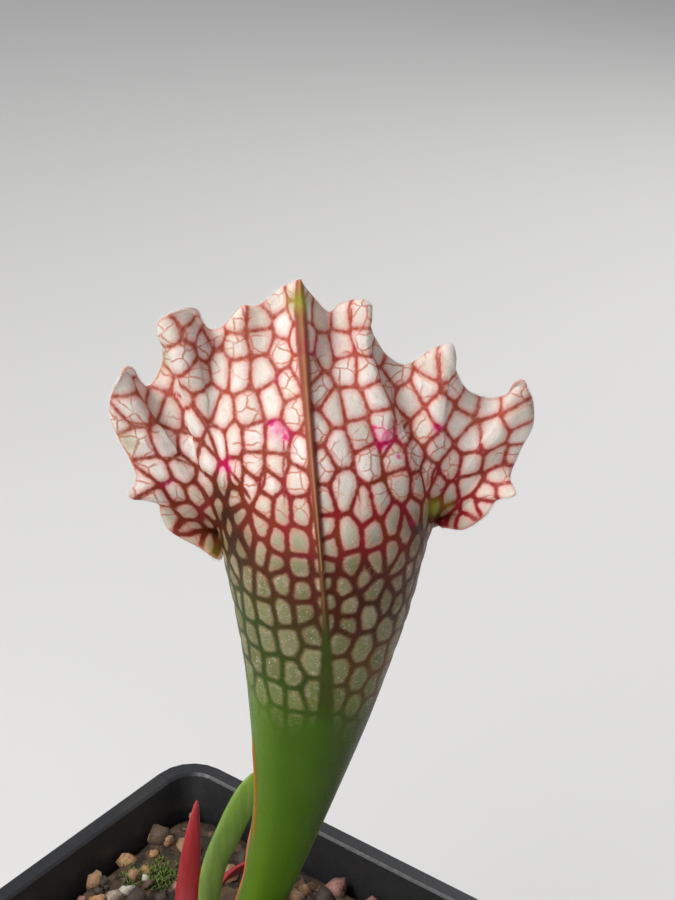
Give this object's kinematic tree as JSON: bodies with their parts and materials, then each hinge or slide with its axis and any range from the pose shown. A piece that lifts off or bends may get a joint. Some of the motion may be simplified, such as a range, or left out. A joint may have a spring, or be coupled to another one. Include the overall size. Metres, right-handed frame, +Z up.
{
  "type": "potted pitcher plant",
  "caption": "Trumpet pitcher plant with a frilled, net-veined hood over a slender hollow tube, growing with small narrow leaves from gritty mix in a square nursery pot.",
  "frame": {"origin": "centre of the pot's flat underside", "axes": "+Z up; +X and +Y along the pot's sides; seen from behind the hood the view runs along a line turned 38 degrees from +Y towards -X"},
  "size_m": [0.08, 0.08, 0.1891],
  "materials": {
    "pot": "satin black plastic",
    "mix": "damp dark peat with tan and pinkish grit",
    "rhizome": "rough brown rhizome and roots",
    "pitcher": "cream with a crimson net of veins, green below",
    "green_leaf": "satin green leaf",
    "red_leaf": "satin dark red leaf"
  },
  "bodies": {
    "root": {"nursery_pot": "pot", "potting_mix": "mix", "rhizome": "rhizome", "pitcher_leaf": "pitcher", "green_leaf": "green_leaf", "red_upright_leaf": "red_leaf", "red_low_leaf": "red_leaf"}
  },
  "joints": []
}
